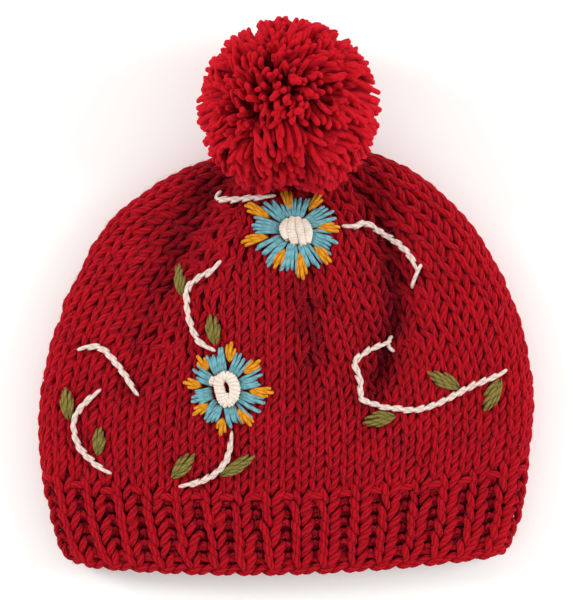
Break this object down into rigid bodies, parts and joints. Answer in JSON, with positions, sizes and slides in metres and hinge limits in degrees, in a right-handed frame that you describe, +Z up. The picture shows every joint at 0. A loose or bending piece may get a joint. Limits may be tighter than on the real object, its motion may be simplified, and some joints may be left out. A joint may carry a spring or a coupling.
{
  "type": "embroidered beanie",
  "caption": "Hand-knitted beanie with a ribbed band, a yarn pompom and embroidered flowers, lying flat on its back.",
  "frame": {"origin": "under the middle of the hat's bounding box, on the surface it lies on", "axes": "+Z up, out of the embroidered front; +Y from the open brim towards the pompom; +X to the right of the front"},
  "size_m": [0.244, 0.2756, 0.0863],
  "materials": {
    "red_wool": "matt bulky plied wool, softly fuzzy",
    "red_pompom_wool": "matt plied wool with cut, opened tips",
    "gold_yarn": "matt plied embroidery wool",
    "blue_yarn": "matt plied embroidery wool",
    "cream_yarn": "matt plied embroidery wool",
    "green_yarn": "matt plied embroidery wool"
  },
  "bodies": {
    "root": {"crown": "red_wool", "rib_band": "red_wool", "cast_on_edge": "red_wool", "pompom": "red_pompom_wool", "top_flower_centre": "cream_yarn", "top_flower_gold_petal_1": "gold_yarn", "top_flower_blue_petal_1": "blue_yarn", "top_flower_gold_petal_2": "gold_yarn", "top_flower_blue_petal_2": "blue_yarn", "top_flower_gold_petal_3": "gold_yarn", "top_flower_blue_petal_3": "blue_yarn", "top_flower_gold_petal_4": "gold_yarn", "top_flower_blue_petal_4": "blue_yarn", "top_flower_gold_petal_5": "gold_yarn", "top_flower_blue_petal_5": "blue_yarn", "top_flower_gold_petal_6": "gold_yarn", "top_flower_blue_petal_6": "blue_yarn", "top_flower_gold_petal_7": "gold_yarn", "top_flower_blue_petal_7": "blue_yarn", "top_flower_gold_petal_8": "gold_yarn", "top_flower_blue_petal_8": "blue_yarn", "low_flower_centre": "cream_yarn", "low_flower_gold_petal_1": "gold_yarn", "low_flower_blue_petal_1": "blue_yarn", "low_flower_gold_petal_2": "gold_yarn", "low_flower_blue_petal_2": "blue_yarn", "low_flower_gold_petal_3": "gold_yarn", "low_flower_blue_petal_3": "blue_yarn", "low_flower_gold_petal_4": "gold_yarn", "low_flower_blue_petal_4": "blue_yarn", "low_flower_gold_petal_5": "gold_yarn", "low_flower_blue_petal_5": "blue_yarn", "low_flower_gold_petal_6": "gold_yarn", "low_flower_blue_petal_6": "blue_yarn", "low_flower_gold_petal_7": "gold_yarn", "low_flower_blue_petal_7": "blue_yarn", "low_flower_gold_petal_8": "gold_yarn", "low_flower_blue_petal_8": "blue_yarn", "stem_top_left": "cream_yarn", "stem_top_right": "cream_yarn", "stem_middle": "cream_yarn", "stem_left_arc": "cream_yarn", "stem_left": "cream_yarn", "stem_low": "cream_yarn", "stem_right": "cream_yarn", "leaf_1": "green_yarn", "leaf_2": "green_yarn", "leaf_3": "green_yarn", "leaf_4": "green_yarn", "leaf_5": "green_yarn", "leaf_6": "green_yarn", "leaf_7": "green_yarn", "leaf_8": "green_yarn", "leaf_9": "green_yarn"}
  },
  "joints": []
}
